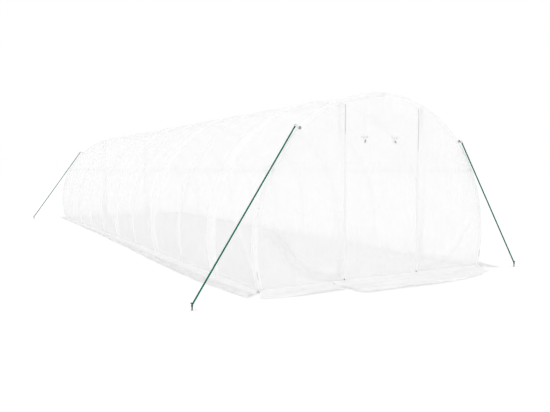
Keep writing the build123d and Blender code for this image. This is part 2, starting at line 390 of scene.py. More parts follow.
def listed(x, y, z):
    """Points, one to a row, from grids of their coordinates."""
    return np.stack([x, y, z], axis=-1).reshape(-1, 3)


def grid_faces(rows, columns, keep=None):
    """Quads of a grid of points, row by row, apart from those that keep leaves out."""
    faces = []
    for row in range(rows - 1):
        for column in range(columns - 1):
            if keep is None or keep(row, column):
                corner = row * columns + column
                faces.append((corner, corner + 1, corner + columns + 1, corner + columns))
    return faces


class Build:
    """Collects points and faces of many small shapes for one joined mesh."""

    def __init__(self):
        self.points = []
        self.faces = []

    def add(self, points, faces):
        """Takes in a shape's points and faces."""
        start = len(self.points)
        self.points.extend(tuple(p) for p in points)
        self.faces.extend(tuple(start + corner for corner in face) for face in faces)

    def tube(self, path, radius, sides, closed=False):
        """Round bar along a path of points. radius is a number or one for each point."""
        path = [Vector(p) for p in path]
        count = len(path)
        radii = [radius] * count if isinstance(radius, (int, float)) else radius
        across = None
        points = []
        for place, centre in enumerate(path):
            before = path[(place - 1) % count] if closed or place > 0 else centre
            after = path[(place + 1) % count] if closed or place < count - 1 else centre
            run = (after - before).normalized()
            if across is None:
                across = run.orthogonal().normalized()
            across = (across - run * across.dot(run)).normalized()
            other = run.cross(across)
            for side in range(sides):
                turn = 2 * pi * side / sides
                points.append(centre + (across * cos(turn) + other * sin(turn)) * radii[place])
        faces = []
        for place in range(count if closed else count - 1):
            for side in range(sides):
                next_side = (side + 1) % sides
                next_place = (place + 1) % count
                faces.append(
                    (
                        place * sides + side,
                        place * sides + next_side,
                        next_place * sides + next_side,
                        next_place * sides + side,
                    )
                )
        if not closed:
            faces.append(tuple(reversed(range(sides))))
            faces.append(tuple((count - 1) * sides + side for side in range(sides)))
        self.add(points, faces)

    def block(self, centre, x_half, y_half, z_half, bevel=0.0):
        """Block with half-sizes given as vectors, its edges rounded where bevel isn't 0."""
        centre, x_half, y_half, z_half = (Vector(v) for v in (centre, x_half, y_half, z_half))
        shape = bmesh.new()
        bmesh.ops.create_cube(shape, size=2.0)
        lengths = (x_half.length, y_half.length, z_half.length)
        for corner in shape.verts:
            corner.co = Vector([c * length for c, length in zip(corner.co, lengths)])
        if bevel:
            bmesh.ops.bevel(shape, geom=shape.edges[:], offset=bevel, segments=2, affect="EDGES")
        axes = [v.normalized() for v in (x_half, y_half, z_half)]
        points = [
            centre + axes[0] * v.co.x + axes[1] * v.co.y + axes[2] * v.co.z for v in shape.verts
        ]
        shape.verts.index_update()
        faces = [[v.index for v in face.verts] for face in shape.faces]
        shape.free()
        self.add(points, faces)

    def dome(self, centre, axis, radius, height, sides=14):
        """Rounded head, such as a bolt's, standing on a surface square to its axis."""
        axis = Vector(axis).normalized()
        profile = [(1.0, 0.0), (1.0, 0.35), (0.86, 0.7), (0.55, 0.93), (0.2, 1.0)]
        path = [Vector(centre) + axis * (height * rise) for _, rise in profile]
        self.tube(path, [radius * share for share, _ in profile], sides)

    def bolt(self, seat, axis, size=0.010):
        """Hexagonal head on a washer, standing on a seat."""
        seat, axis = Vector(seat), Vector(axis).normalized()
        self.tube([seat, seat + axis * 0.0015], size, 18)
        self.tube([seat + axis * 0.0012, seat + axis * (0.0012 + size * 0.55)], size * 0.62, 6)

    def ring(self, centre, axis, radius, thickness, sides=28):
        """Closed round ring about an axis."""
        axis = Vector(axis).normalized()
        across = axis.orthogonal().normalized()
        other = axis.cross(across)
        turns = [2 * pi * side / sides for side in range(sides)]
        path = [Vector(centre) + (across * cos(t) + other * sin(t)) * radius for t in turns]
        self.tube(path, thickness / 2, 10, closed=True)

    def finish(self, name, material, slot, smooth=True):
        """One joined mesh of everything collected, mapped from the front."""
        uvs = np.array(self.points)[:, [0, 2]]
        return make_object(name, self.points, self.faces, [material], uvs, smooth)


NOISE_CELLS = 64


def lattice_noise(x, y, seed):
    """Smooth noise from -1 to 1 with features one unit across."""
    table = np.random.default_rng(seed).random((NOISE_CELLS, NOISE_CELLS)) * 2 - 1
    x, y = np.broadcast_arrays(np.asarray(x, float), np.asarray(y, float))
    column, row = np.floor(x).astype(int), np.floor(y).astype(int)
    across, up = x - column, y - row
    across = across**3 * (across * (across * 6 - 15) + 10)
    up = up**3 * (up * (up * 6 - 15) + 10)
    corner = [
        table[(row + r) % NOISE_CELLS, (column + c) % NOISE_CELLS] for r in (0, 1) for c in (0, 1)
    ]
    low = corner[0] * (1 - across) + corner[1] * across
    high = corner[2] * (1 - across) + corner[3] * across
    return low * (1 - up) + high * up


def rumple(x, y, seed, octaves=3):
    """Noise with ever finer folds laid over the broad ones."""
    total = 0
    for octave in range(octaves):
        total = total + lattice_noise(x * 2**octave, y * 2**octave, seed + octave) / 2**octave
    return total


def smooth_step(value, low, high):
    """0 below low and 1 above high, with a smooth rise between them."""
    share = np.clip((value - low) / (high - low), 0, 1)
    return share * share * (3 - 2 * share)


def bay_share(along):
    """How far along its bay a place is, from 0 at one hoop to 1 at the next."""
    return np.clip((along + END_HOOP) / HOOP_PITCH, 0, BAYS) % 1


def arch_sheet(name, along, angle, radius, materials, finish=None):
    """Film that follows the arch, from grids of places along it, angles and radii."""
    x = radius * np.sin(angle)
    z = np.maximum(ARCH_CENTRE + radius * np.cos(angle), 0.001)
    points = listed(x, along, z)
    uvs = np.stack([along, angle * ARCH_RADIUS], axis=-1).reshape(-1, 2)
    faces = grid_faces(*along.shape)
    return make_object(name, points, faces, materials, uvs, finish=finish)


# The cover: one sheet over all the hoops, that hangs a little between them. Its widths are
# welded over every second hoop, where two layers overlap, and a narrow strip guards the film
# over the others.

COVER_LIFT = 0.0012
ROOF_SAG = 0.018
WALL_SAG = 0.007
PULL_DEPTH = 0.0028
DROP_DEPTH = 0.0050
SLACK_DEPTH = 0.0035
BAY_STEPS = 32
ARCH_STEPS = 200
SEAM_WIDTH = 0.240
SEAM_EDGE = 0.0015
SEAM_RISE = 0.0008
GUARD_WIDTH = 0.062
BINDING = 0.030
LAP = 0.003
SEAM_PLACES = np.array(HOOP_PLACES[1::2])


def cover_radius(angle, along):
    """Radius of the cover's film at an angle from the crown and a place along the tunnel."""
    share = bay_share(along)
    bay = np.floor(np.clip((along + END_HOOP) / HOOP_PITCH, 0, BAYS - 0.001))
    hang = 4 * share * (1 - share)
    arc = angle * ARCH_RADIUS
    steep = smooth_step(np.abs(angle), radians(35), radians(75))
    foot = 1 - smooth_step(np.abs(angle), radians(84), radians(103))
    bay_depth = 0.85 + 0.3 * lattice_noise(bay * 0.9, angle * 2, 3)
    depth = (ROOF_SAG * (1 - steep) + WALL_SAG * steep) * bay_depth
    pull = rumple(arc / 0.16, along / 1.3, 11) * PULL_DEPTH * hang * (1 - 0.5 * steep)
    drop = rumple(along / 0.19, arc / 0.9, 23) * DROP_DEPTH * np.sqrt(hang) * steep
    slack = rumple(along / 0.45, arc / 0.35, 31) * SLACK_DEPTH * hang
    loose = (pull + drop * (0.35 + 0.65 * foot) + slack) * (0.15 + 0.85 * foot)
    low = COVER_LIFT * hang * (1 - foot)
    return SKIN_RADIUS + COVER_LIFT - depth * hang * foot + loose - low


def cover_sheet():
    """Cover from one end's binding to the other's, with its welded bands a little raised."""
    reach = END_HOOP - BINDING + LAP
    edges = [side * (SEAM_WIDTH / 2 + step) for side in (-1, 1) for step in (0, SEAM_EDGE)]
    bands = [SEAM_PLACES + offset for offset in edges]
    places = np.concatenate([np.linspace(-END_HOOP, END_HOOP, BAYS * BAY_STEPS + 1), *bands])
    places = np.unique(np.concatenate([places[np.abs(places) < reach - 0.001], [-reach, reach]]))
    along, angle = np.meshgrid(places, np.linspace(-EDGE_ANGLE, EDGE_ANGLE, ARCH_STEPS))

    def nearest(place, marks):
        """Distance from each place to the nearest of the marks."""
        return np.min(np.abs(place[:, None] - marks), axis=1)

    raised = nearest(places, SEAM_PLACES) < SEAM_WIDTH / 2 + 0.0005
    radius = cover_radius(angle, along) + SEAM_RISE * raised
    middles = (places[1:] + places[:-1]) / 2
    guarded = nearest(middles, np.array(HOOP_PLACES)) < GUARD_WIDTH / 2
    doubled = guarded | (nearest(middles, SEAM_PLACES) < SEAM_WIDTH / 2)
    finish = np.tile(doubled, len(angle) - 1).astype(int)
    return arch_sheet("cover_film", along, angle, radius, [cover_film, doubled_film], finish)


cover = cover_sheet()
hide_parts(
    "cover_left_side",
    "cover_left_shoulder",
    "cover_left_roof",
    "cover_right_roof",
    "cover_right_shoulder",
    "cover_right_side",
)

# End panels and the doors in them

PANEL_PLANE = LENGTH / 2 - 0.004
PANEL_RADIUS = HOOP_RADIUS - BINDING + LAP
SIDE_COLUMNS = 44
DOOR_COLUMNS = 40
LOW_ROWS = 96
HIGH_ROWS = 10

# The slack fold of an end panel: its line from the hoop down to the door post's foot
FOLD_LINE = [
    (-1.40, 0.56),
    (-1.26, 0.44),
    (-1.12, 0.25),
    (-0.95, 0.13),
    (-0.78, 0.08),
    (-0.50, 0.05),
]
FOLD_RIDGE = 0.046
FOLD_VALLEY = 0.026
PANEL_BULGE = 0.010
DOOR_FOLD_DEPTH = 0.0045


def fold_height(side):
    """Height of the slack fold's middle at a place across the panel."""
    across, height = np.array(FOLD_LINE).T
    return np.interp(side, across, height)


def end_bulge(x, z, end):
    """How far an end's film stands out from its plane."""
    half = np.sqrt(np.maximum(PANEL_RADIUS**2 - (z - ARCH_CENTRE) ** 2, 0.0001))
    edge = smooth_step(half - np.abs(x), 0.0, 0.28)
    floor = smooth_step(z, 0.0, 0.08)
    seam = smooth_step(np.abs(np.abs(x) - DOOR_WIDTH / 2), 0.0, 0.16)
    upright = rumple(x / 0.12 + 5, z / 0.9, 41 + end) * 0.0060
    slack = rumple(x / 0.40, z / 0.35, 57 + end) * 0.0080
    bulge = (PANEL_BULGE + upright + slack) * edge * floor * (0.4 + 0.6 * seam)
    side = -np.abs(x)
    away = z - fold_height(side)
    span = smooth_step(side, -1.47, -1.30) * (1 - smooth_step(side, -0.66, -0.52))
    ridge = np.exp(-(((away - 0.06) / 0.055) ** 2))
    valley = np.exp(-(((away + 0.03) / 0.045) ** 2))
    # The fold is deepest left of each door, as seen from outside
    strength = np.where(x < 0, 1.0, 0.35) if end < 0 else np.where(x > 0, 0.9, 0.5)
    fold = (FOLD_RIDGE * ridge - FOLD_VALLEY * valley) * span * strength
    return bulge + fold * smooth_step(z, 0.0, 0.03)


def end_grid():
    """Rows and columns of points over a whole end, with lines along the door's edges."""
    low = 0.001 + (DOOR_HEIGHT - 0.001) * np.linspace(0, 1, LOW_ROWS) ** 1.25
    top_turn = acos((DOOR_HEIGHT - ARCH_CENTRE) / PANEL_RADIUS)
    high = ARCH_CENTRE + PANEL_RADIUS * np.cos(np.linspace(1, 0, HIGH_ROWS + 1)[1:] * top_turn)
    heights = np.concatenate([low, high])
    half = np.sqrt(np.maximum(PANEL_RADIUS**2 - (heights - ARCH_CENTRE) ** 2, 0))
    rows = []
    for height, reach in zip(heights, half):
        shrink = 1.0 if height <= DOOR_HEIGHT else reach / half[LOW_ROWS - 1]
        side = np.linspace(-reach, -DOOR_WIDTH / 2 * shrink, SIDE_COLUMNS + 1)
        middle = np.linspace(-DOOR_WIDTH / 2 * shrink, DOOR_WIDTH / 2 * shrink, DOOR_COLUMNS + 1)
        rows.append(np.concatenate([side, middle[1:-1], -side[::-1]]))
    return np.array(rows), np.tile(heights[:, None], (1, len(rows[0])))


def in_doorway(row, column):
    """Whether a face of the end's grid belongs to the door."""
    return row < LOW_ROWS - 1 and SIDE_COLUMNS <= column < SIDE_COLUMNS + DOOR_COLUMNS


def door_folds(x, z, end):
    """Shallow folds across the door, left from being rolled up."""
    inside = smooth_step(DOOR_WIDTH / 2 - np.abs(x), 0, 0.1) * smooth_step(DOOR_HEIGHT - z, 0, 0.1)
    folds = rumple(x / 0.8, z / 0.22, 71 + end) * DOOR_FOLD_DEPTH
    return folds * inside * smooth_step(z, 0, 0.05)


end_x, end_z = end_grid()
for name, end in ENDS:
    stand = end_bulge(end_x, end_z, end)
    points = listed(end_x, end * (PANEL_PLANE + stand), end_z)
    uvs = points[:, [0, 2]]
    panel_faces = grid_faces(*end_x.shape, lambda row, column: not in_doorway(row, column))
    panel = make_object(f"{name}_end_film", points, panel_faces, [cover_film], uvs)
    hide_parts(f"{name}_end_panel")
    stand = stand + door_folds(end_x, end_z, end)
    doorway = np.s_[:LOW_ROWS, SIDE_COLUMNS : SIDE_COLUMNS + DOOR_COLUMNS + 1]
    out = end * (PANEL_PLANE + stand)
    points = listed(end_x[doorway], out[doorway], end_z[doorway])
    uvs = points[:, [0, 2]]
    door_faces = grid_faces(LOW_ROWS, DOOR_COLUMNS + 1)
    door = make_object(f"{name}_door_film", points, door_faces, [cover_film], uvs)
    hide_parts(f"{name}_roll_up_door")

# Binding sewn round each end hoop, from the cover's edge over the tube to the end panel's

BINDING_LIFT = 0.0024
for name, end in ENDS:
    angles = np.linspace(-EDGE_ANGLE + 0.010, EDGE_ANGLE - 0.010, ARCH_STEPS)
    roll = TUBE / 2 + BINDING_LIFT
    profile = [
        (END_HOOP - BINDING, HOOP_RADIUS + roll),
        (END_HOOP - BINDING / 2, HOOP_RADIUS + roll),
    ]
    for turn in np.radians([0, 22, 45, 68, 90]):
        profile.append((END_HOOP + roll * sin(turn), HOOP_RADIUS + roll * cos(turn)))
    profile.append((END_HOOP + roll + 0.0005, HOOP_RADIUS - BINDING / 2))
    profile.append((END_HOOP + roll, HOOP_RADIUS - BINDING))
    along, angle = np.meshgrid([end * place for place, _ in profile], angles)
    radius = np.tile([reach for _, reach in profile], (len(angles), 1))
    radius = radius - 0.0008 * np.abs(rumple(angle * 22, along * 8, 91))
    binding = arch_sheet(f"{name}_hoop_binding", along, angle, radius, [binding_film])

# Zips: woven tape and teeth, a slider at the foot of each, and a film strip over most of the
# teeth. STRIP_TOPS gives its top left (-1) and right (1) of a door, seen from outside.

ZIP_TAPE = 0.030
TOOTH_PITCH = 0.008
STRIP_TOPS = {-1: 1.54, 1: 1.38}
STRIP_WIDTH = 0.016
STRIP_STEPS = 70
STRIP_COLUMNS = 7
TAPE_STEPS = 90
SLIDER_HEIGHT = 0.034


def zip_face(side, height, end, out):
    """Point on the middle of a zip, so far out from the panel."""
    middle = side * DOOR_WIDTH / 2
    stand = PANEL_PLANE + float(end_bulge(middle, height, end)) + out
    return Vector((middle, end * stand, height))


for name, end in ENDS:
    tapes, teeth, sliders, strips = Build(), Build(), Build(), Build()
    outward = Vector((0, end, 0))
    for side in (-1, 1):
        middle = side * DOOR_WIDTH / 2
        heights = np.linspace(0.006, DOOR_HEIGHT - 0.004, TAPE_STEPS)
        tape_x, tape_z = np.meshgrid(middle + ZIP_TAPE * np.array([-0.5, -0.2, 0.2, 0.5]), heights)
        tape_y = end * (PANEL_PLANE + end_bulge(tape_x, tape_z, end) + 0.0012)
        tapes.add(listed(tape_x, tape_y, tape_z), grid_faces(*tape_x.shape))
        for number, height in enumerate(np.arange(0.02, DOOR_HEIGHT - 0.01, TOOTH_PITCH / 2)):
            tooth = zip_face(side, height, end, 0.0026)
            tooth.x += 0.0009 * (1 if number % 2 else -1)
            teeth.block(tooth, (0.0018, 0, 0), (0, 0.0012, 0), (0, 0, 0.0014))
        slider = zip_face(side, SLIDER_HEIGHT, end, 0.0045)
        sliders.block(slider, (0.006, 0, 0), (0, 0.0030, 0), (0, 0, 0.009), 0.002)
        pull = [
            slider + outward * 0.004 + Vector((0, 0, -0.002 - 0.007 * step)) for step in range(4)
        ]
        sliders.tube(pull, [0.0014, 0.0022, 0.0026, 0.0020], 10)
        turns = np.linspace(-1, 1, STRIP_COLUMNS)
        heights = np.linspace(0.05, STRIP_TOPS[-side * end], STRIP_STEPS)
        lean = 0.003 * rumple(heights / 0.3, side, 83 + end)
        strip_x = middle + lean[:, None] + STRIP_WIDTH / 2 * turns[None, :]
        strip_z = np.tile(heights[:, None], (1, STRIP_COLUMNS))
        stand = 0.0020 + 0.0045 * np.sqrt(1 - turns**2)
        strip_y = end * (PANEL_PLANE + end_bulge(strip_x, strip_z, end) + stand)
        strips.add(listed(strip_x, strip_y, strip_z), grid_faces(*strip_x.shape))
    piece = tapes.finish(f"{name}_zip_tapes", zip_cloth, "zip_tape")
    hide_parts(f"{name}_door_zips")
    teeth.finish(f"{name}_zip_teeth", zip_nylon, "zip_tape", smooth=False)
    sliders.finish(f"{name}_zip_sliders", grey_plastic, "zip_tape")
    strips.finish(f"{name}_zip_strips", bead_film, "zip_tape")

# Ties that hold the rolled-up door: a sewn patch, a loop of webbing and a toggle

for name, end in ENDS:
    straps, toggles = Build(), Build()
    for number, place in enumerate(TIE_PLACES):
        across = -end * place
        out = PANEL_PLANE + float(end_bulge(across, TIE_TOP, end)) + 0.004
        patch = Vector((across, end * out, TIE_TOP - 0.010))
        straps.block(patch, (0.045, 0, 0), (0, 0.0015, 0), (0, 0, 0.006), 0.0008)
        loop = patch + Vector((0, end * 0.004, -TIE_LENGTH / 2))
        straps.block(loop, (0.010, 0, 0), (0, 0.0018, 0), (0, 0, TIE_LENGTH / 2), 0.0008)
        toggle = patch + Vector((0, end * 0.010, 0.006 - TIE_LENGTH))
        lean = Vector((0.7, 0, -0.7)) if number else Vector((0.35, 0, 0.93))
        tips = [toggle + lean * 0.017 * share for share in (-1, -0.8, 0, 0.8, 1)]
        toggles.tube(tips, [0.0025, 0.0045, 0.0035, 0.0045, 0.0025], 14)
    piece = straps.finish(f"{name}_tie_straps", strap_cloth, "webbing")
    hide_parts(f"{name}_door_ties")
    toggles.finish(f"{name}_tie_toggles", grey_plastic, "webbing")

# Hoops: bent tube in five lengths, each pushed over the next one's end and bolted

HOOP_JOINTS = [radians(angle) for angle in (-79, -28, 28, 79)]
HOOP_SIDES = 16
SOCKET_WALL = 0.0010
hoop_turns = np.linspace(-FOOT_ANGLE + 0.006, FOOT_ANGLE - 0.006, 121)
bolts = Build()
for number, along in enumerate(HOOP_PLACES, start=1):
    hoop = Build()
    hoop.tube([arch_point(turn, HOOP_RADIUS, along) for turn in hoop_turns], TUBE / 2, HOOP_SIDES)
    for joint in HOOP_JOINTS:
        turns = joint + np.linspace(-0.030, 0.030, 7)
        sizes = [TUBE / 2, *[TUBE / 2 + SOCKET_WALL] * 5, TUBE / 2]
        path = [arch_point(turn, HOOP_RADIUS - SOCKET_WALL, along) for turn in turns]
        hoop.tube(path, sizes, HOOP_SIDES)
        inward = arch_point(joint, -1, 0) - arch_point(joint, 0, 0)
        bolts.bolt(arch_point(joint, HOOP_RADIUS - TUBE / 2 - 0.0018, along), inward, 0.007)
    piece = hoop.finish(f"hoop_tube_{number:02d}", zinc, "galvanised_tube")
    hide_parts(f"hoop_{number:02d}")

# Base frame: side rails with a cross fitting at each hoop's foot, and sill rails

RAIL_JOINT = 0.045
RAIL_SIDES = 20
SLEEVE_WALL = 0.0004
JOINT_WALL = 0.0003
POST_WALL = 0.0012
for name, side in SIDES:
    rail = Build()
    across = side * RAIL_OFFSET
    tips = [Vector((across, end * (LENGTH / 2 - FILM), RAIL_HEIGHT)) for end in (-1, 1)]
    rail.tube(tips, TUBE / 2, RAIL_SIDES)
    for along in HOOP_PLACES:
        reach = min(0.035, LENGTH / 2 - FILM - abs(along))
        sleeve = [Vector((across, along + end * reach, RAIL_HEIGHT)) for end in (-1, 1)]
        rail.tube(sleeve, TUBE / 2 + SLEEVE_WALL, RAIL_SIDES)
        foot = arch_point(side * FOOT_ANGLE, HOOP_RADIUS, along)
        knee = arch_point(side * (FOOT_ANGLE - 0.048), HOOP_RADIUS, along)
        rail.tube([foot, knee], TUBE / 2 + SOCKET_WALL, RAIL_SIDES)
        inward = Vector((-side, 0, 0))
        bolts.bolt((foot + knee) / 2 + inward * (TUBE / 2 + SOCKET_WALL), inward, 0.008)
    for along in HOOP_PLACES[:-1:2]:
        middle = along + HOOP_PITCH / 2
        joint = [Vector((across, middle + end * RAIL_JOINT, RAIL_HEIGHT)) for end in (-1, 1)]
        rail.tube(joint, TUBE / 2 + JOINT_WALL, RAIL_SIDES)
        bolts.bolt((across - side * TUBE / 2, middle, RAIL_HEIGHT), (-side, 0, 0), 0.006)
    piece = rail.finish(f"{name}_base_tube", zinc, "galvanised_tube")
    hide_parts(f"{name}_base_rail")

for name, end in ENDS:
    along = end * END_HOOP
    sill = Build()
    tips = [Vector((side * (RAIL_OFFSET - TUBE / 4), along, RAIL_HEIGHT)) for side in (-1, 1)]
    sill.tube(tips, TUBE / 2, RAIL_SIDES)
    for side in (-1, 1):
        reaches = (RAIL_OFFSET - 0.06, RAIL_OFFSET)
        elbow = [Vector((side * reach, along, RAIL_HEIGHT)) for reach in reaches]
        sill.tube(elbow, TUBE / 2 + SLEEVE_WALL, RAIL_SIDES)
        bolts.bolt((side * (RAIL_OFFSET - 0.045), along, RAIL_HEIGHT + TUBE / 2), (0, 0, 1), 0.007)
    joint = [Vector((side * RAIL_JOINT, along, RAIL_HEIGHT)) for side in (-1, 1)]
    sill.tube(joint, TUBE / 2 + JOINT_WALL, RAIL_SIDES)
    piece = sill.finish(f"{name}_sill_tube", zinc, "galvanised_tube")
    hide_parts(f"{name}_sill_rail")

    # Door posts, with a flat cap at the hoop and a tee at the sill
    posts = Build()
    top = ARCH_CENTRE + sqrt(HOOP_RADIUS**2 - POST_OFFSET**2)
    for side in (-1, 1):
        across = side * POST_OFFSET
        foot, head = (across, along, RAIL_HEIGHT), (across, along, top)
        posts.tube([foot, head], TUBE / 2, RAIL_SIDES)
        posts.tube([foot, (across, along, 0.065)], TUBE / 2 + POST_WALL, RAIL_SIDES)
        tee = [(across - 0.03, along, RAIL_HEIGHT), (across + 0.03, along, RAIL_HEIGHT)]
        posts.tube(tee, TUBE / 2 + SLEEVE_WALL, RAIL_SIDES)
        posts.tube([(across, along, top - 0.050), head], TUBE / 2 + POST_WALL, RAIL_SIDES)
        for height in (0.048, top - 0.034):
            bolts.bolt((across, along - end * (TUBE / 2 + 0.001), height), (0, -end, 0), 0.007)
    piece = posts.finish(f"{name}_door_tubes", zinc, "galvanised_tube")
    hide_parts(f"{name}_door_posts")

    # Corner braces, their flattened ends bolted to the hoops
    braces = Build()
    for side in (-1, 1):
        low = arch_point(side * BRACE_FOOT_ANGLE, HOOP_RADIUS, along)
        high = arch_point(side * BRACE_TOP_ANGLE, HOOP_RADIUS, along - end * HOOP_PITCH)
        run = (high - low).normalized()
        path = [low + run * 0.014, low + run * 0.05, high - run * 0.05, high - run * 0.014]
        braces.tube(path, BRACE_TUBE / 2, 16)
        for tip, hoop_along in ((path[0], along), (path[-1], along - end * HOOP_PITCH)):
            inward = Vector((-side, 0, 0))
            braces.block(tip, run * 0.022, (0, 0, 0.009), inward * 0.003, 0.001)
            bolts.bolt(tip + inward * 0.003, inward, 0.007)
    piece = braces.finish(f"{name}_brace_tubes", zinc, "galvanised_tube")
    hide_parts(f"{name}_corner_braces")

# Purlins, each clipped to every hoop by a saddle with two bolts

SADDLE = 0.022
U_BOLT_RADIUS = 0.0142
PURLIN_SIDES = 18
for name, turn in PURLIN_ANGLES.items():
    purlin = Build()
    tips = [arch_point(turn, PURLIN_RADIUS, end * (END_HOOP + TUBE / 2)) for end in (-1, 1)]
    purlin.tube(tips, PURLIN_TUBE / 2, PURLIN_SIDES)
    inward = Vector((-sin(turn), 0, -cos(turn)))
    tangent = Vector((cos(turn), 0, -sin(turn)))
    for along in HOOP_PLACES:
        centre = arch_point(turn, HOOP_RADIUS, along)
        for reach in (-SADDLE, SADDLE):
            arc = [
                centre
                + tangent * reach
                + inward * sin(t) * U_BOLT_RADIUS
                + Vector((0, cos(t) * U_BOLT_RADIUS, 0))
                for t in np.linspace(0, pi, 9)
            ]
            purlin.tube(arc, 0.0018, 8)
        plate = centre + inward * (TUBE / 2 + 0.0015)
        purlin.block(plate, tangent * SADDLE, (0, 0.0125, 0), inward * 0.0015, 0.0006)
        for reach in (-0.016, 0.016):
            bolts.bolt(plate + tangent * reach + inward * 0.0015, inward, 0.006)
    for along in HOOP_PLACES[1:-1:2]:
        middle = along + HOOP_PITCH / 2
        joint = [arch_point(turn, PURLIN_RADIUS, middle + end * 0.03) for end in (-1, 1)]
        purlin.tube(joint, PURLIN_TUBE / 2 + SOCKET_WALL, PURLIN_SIDES)
        bolts.bolt(arch_point(turn, PURLIN_RADIUS - PURLIN_TUBE / 2, middle), inward, 0.006)
    piece = purlin.finish(name.replace("purlin", "purlin_tube"), zinc, "galvanised_tube")
    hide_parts(name)

bolts.finish("frame_bolts", bolt_zinc, "galvanised_tube", smooth=False)

# Skirts: film laid out on the ground, rumpled, and turned up at the wall

SIDE_SKIRT = [
    (-0.15, 0.200),
    (0.65, 0.265),
    (2.10, 0.262),
    (3.70, 0.205),
    (6.20, 0.130),
    (8.60, 0.095),
    (10.08, 0.080),
]
LEFT_FLAP = [(-0.12, 0.245), (0.20, 0.305), (0.82, 0.295)]
LEFT_FLAP_END = 0.825
DOOR_FLAP_START = 0.835
DOOR_FLAP = [
    (0.850, 0.300),
    (0.880, 0.490),
    (1.200, 0.505),
    (1.880, 0.525),
    (2.340, 0.465),
    (2.800, 0.295),
    (2.975, 0.200),
]


def outline(points, count):
    """Smooth line through a few points, as so many points with even spacing along it."""
    curve = np.array(points, float)
    chord = np.concatenate([[0], np.cumsum(np.linalg.norm(np.diff(curve, axis=0), axis=1))])
    slope = np.gradient(curve, chord, axis=0)
    place = np.linspace(0, chord[-1], count)
    span = np.clip(np.searchsorted(chord, place, side="right") - 1, 0, len(curve) - 2)
    run = (chord[span + 1] - chord[span])[:, None]
    t = ((place - chord[span])[:, None]) / run
    return (
        (2 * t**3 - 3 * t**2 + 1) * curve[span]
        + (t**3 - 2 * t**2 + t) * run * slope[span]
        + (3 * t**2 - 2 * t**3) * curve[span + 1]
        + (t**3 - t**2) * run * slope[span + 1]
    )


TURN_UP = 0.030
# Share of the way out where the side skirts' hem starts, which carries the painted shade
SIDE_SHADED_HEM_START = 0.45
SKIRT_STEPS = 18


def skirt_sheet(name, edge, inner, place, seed, node, shaded_hem_start=1.0):
    """Film from a wall's foot out to its edge on the ground. inner gives the wall's line for
    each point of the edge, and place turns (along, out, height) into a point. The film is
    doubled from the hem's start, as a share of the way out, and is less see-through there. Its
    greyer colour there is painted shade of the ruffles."""
    share = np.linspace(0, 1, SKIRT_STEPS)[None, :]
    lay = inner[:, None] + (edge[:, :1] - inner[:, None]) * share
    out = edge[:, 1:] * share
    pleat = np.abs(rumple(lay / 0.80, out / 0.075, seed))
    crease = np.abs(rumple(lay / 0.16, out / 0.12, seed + 5))
    climb = TURN_UP * (1 - smooth_step(share, 0.0, 0.45))
    height = 0.002 + climb + (0.018 * pleat + 0.010 * crease) * smooth_step(share, 0.15, 0.5)
    shift = 0.008 * rumple(lay / 0.20, share, seed + 17) * share
    x, y, z = place(lay, np.maximum(out + shift, 0.0), height)
    points = listed(x, y, z)
    uvs = np.stack([lay, out], axis=-1).reshape(-1, 2)
    faces = grid_faces(len(edge), SKIRT_STEPS)
    # The hem's faces get the greyer film, whose colour is painted shade
    hemmed = (np.arange(SKIRT_STEPS - 1) + 0.5) / (SKIRT_STEPS - 1) > shaded_hem_start
    finish = np.tile(hemmed, len(edge) - 1).astype(int)
    materials = [skirt_film, shaded_hem_film]
    piece = make_object(name, points, faces, materials, uvs, finish=finish)
    if node:
        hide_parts(node)


def side_place(side):
    """Turns a place on a side skirt into a point."""

    def place(lay, out, height):
        wall = (ARCH_RADIUS + 0.001) * np.sqrt(1 - ((height - ARCH_CENTRE) / ARCH_RADIUS) ** 2)
        return side * (wall + out), lay - LENGTH / 2, height

    return place


def end_place(end):
    """Turns a place on an end flap into a point."""

    def place(lay, out, height):
        return lay - WIDTH / 2, end * (LENGTH / 2 + 0.001 + out), height

    return place


for name, side in SIDES:
    edge = outline(SIDE_SKIRT, 420)
    inner = np.linspace(0.0, LENGTH, len(edge))
    seed = 101 + side
    node = f"{name}_skirt"
    skirt_sheet(f"{name}_skirt_film", edge, inner, side_place(side), seed, node, SIDE_SHADED_HEM_START)

for name, end in ENDS:
    edge = outline(LEFT_FLAP, 80)
    inner = np.linspace(0.0, LEFT_FLAP_END, len(edge))
    skirt_sheet(f"{name}_corner_flap", edge, inner, end_place(end), 131 + end, f"{name}_skirt")
    edge = outline(DOOR_FLAP, 150)
    inner = np.linspace(DOOR_FLAP_START, WIDTH, len(edge))
    skirt_sheet(f"{name}_door_flap", edge, inner, end_place(end), 151 + end, None)

# Guy ropes: three strands laid round each other, tied to a ring above and round a peg below

STRAND = ROPE_DIAMETER / 4.3
STRAND_FULLNESS = 1.25
STRAND_SIDES = 7
LAY_LENGTH = 0.060
LAY_STEPS = 9


def laid_rope(rope, path):
    """Three strands that wind round each other along a path of points. They are drawn fuller
    than round ones that only touch, so that they press into each other."""
    path = [Vector(p) for p in path]
    travelled = 0.0
    strands = [[], [], []]
    for start, stop in zip(path, path[1:]):
        run = stop - start
        down = run.normalized()
        across = (Vector((0, 1, 0)) - down * down.y).normalized()
        other = down.cross(across)
        steps = max(1, ceil(run.length / LAY_LENGTH * LAY_STEPS))
        for step in range(steps + (stop is path[-1])):
            reach = travelled + run.length * step / steps
            for number, strand in enumerate(strands):
                turn = 2 * pi * (reach / LAY_LENGTH + number / 3)
                offset = across * cos(turn) + other * sin(turn)
                strand.append(start + run * step / steps + offset * (ROPE_DIAMETER / 2 - STRAND))
        travelled += run.length
    for strand in strands:
        rope.tube(strand, STRAND * STRAND_FULLNESS, STRAND_SIDES)


